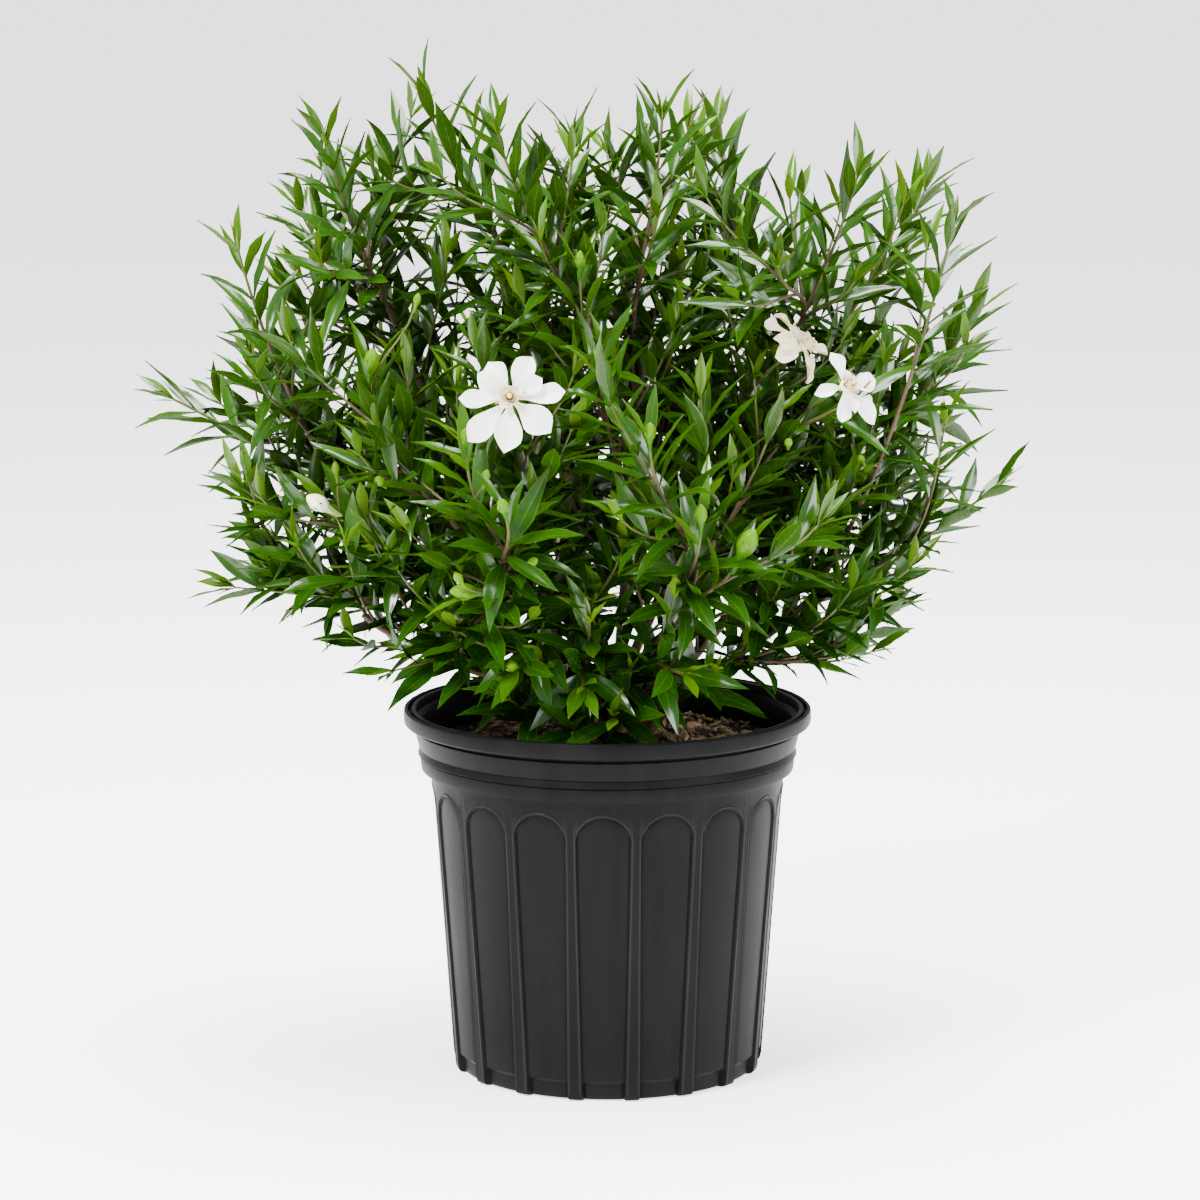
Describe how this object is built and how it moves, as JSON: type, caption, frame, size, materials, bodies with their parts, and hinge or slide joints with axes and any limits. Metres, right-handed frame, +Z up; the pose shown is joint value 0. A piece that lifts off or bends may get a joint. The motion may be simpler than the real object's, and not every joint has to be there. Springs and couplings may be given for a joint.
{
  "type": "potted gardenia",
  "caption": "Evergreen shrub with glossy lance-shaped leaves, white blooms and green buds, rooted in a round black fluted nursery pot with a banded collar.",
  "frame": {"origin": "centre of the underside of the pot, on the surface it stands on", "axes": "+Z up along the pot's axis, -Y towards the pictured front, +X to the right seen from the front"},
  "size_m": [0.621, 0.4403, 0.7055],
  "materials": {
    "pot": "black moulded plastic, satin, with soft highlights on the collar and the ribs",
    "soil": "dark bark-based potting mix with tan chips, matt",
    "bark": "tan to red-brown bark, matt",
    "foliage": "glossy leathery green leaves with pale midribs on green stems",
    "petal": "soft waxy white petals",
    "flower_heart": "cream stigma and anthers, soft",
    "green_bud": "smooth yellow-green bud, satin",
    "pale_bud": "cream-white opening bud, satin"
  },
  "bodies": {
    "root": {"pot": "pot", "soil": "soil", "trunk_left": "bark", "trunk_back": "bark", "trunk_right": "bark", "trunk_front": "bark", "bloom_front": "petal", "bloom_front_centre": "flower_heart", "bloom_right": "petal", "bloom_right_centre": "flower_heart", "bloom_old": "petal", "bloom_old_centre": "flower_heart", "bud_white": "pale_bud", "bud_left": "green_bud", "bud_inner_left": "green_bud", "bud_large": "green_bud", "bud_inner_right": "green_bud", "bud_front": "green_bud", "bud_lying": "green_bud", "bud_hang_left": "green_bud", "bud_top": "green_bud", "bud_middle": "green_bud", "spray_left_low": "foliage", "spray_left_out": "foliage", "spray_left_mid": "foliage", "spray_left_high": "foliage", "spray_left_crown": "foliage", "spray_left_hang": "foliage", "spray_top_left": "foliage", "spray_top_far_left": "foliage", "spray_top_inner_left": "foliage", "spray_top_middle": "foliage", "spray_top_inner_right": "foliage", "spray_top_right": "foliage", "spray_right_crown": "foliage", "spray_right_high": "foliage", "spray_right_upper": "foliage", "spray_right_mid": "foliage", "spray_right_out": "foliage", "spray_right_low": "foliage", "spray_right_hang": "foliage", "spray_front_hang_middle": "foliage", "spray_front_hang_right": "foliage", "spray_bloom_front": "foliage", "spray_bloom_right": "foliage", "spray_bloom_old": "foliage", "spray_bud_white": "foliage", "spray_bud_left": "foliage", "spray_bud_inner_left": "foliage", "spray_bud_large": "foliage", "spray_bud_inner_right": "foliage", "spray_bud_front": "foliage", "spray_bud_lying": "foliage", "spray_bud_hang_left": "foliage", "spray_bud_top": "foliage", "spray_bud_middle": "foliage", "spray_back_left": "foliage", "spray_back_inner_left": "foliage", "spray_back_inner_right": "foliage", "spray_back_right": "foliage"}
  },
  "joints": []
}
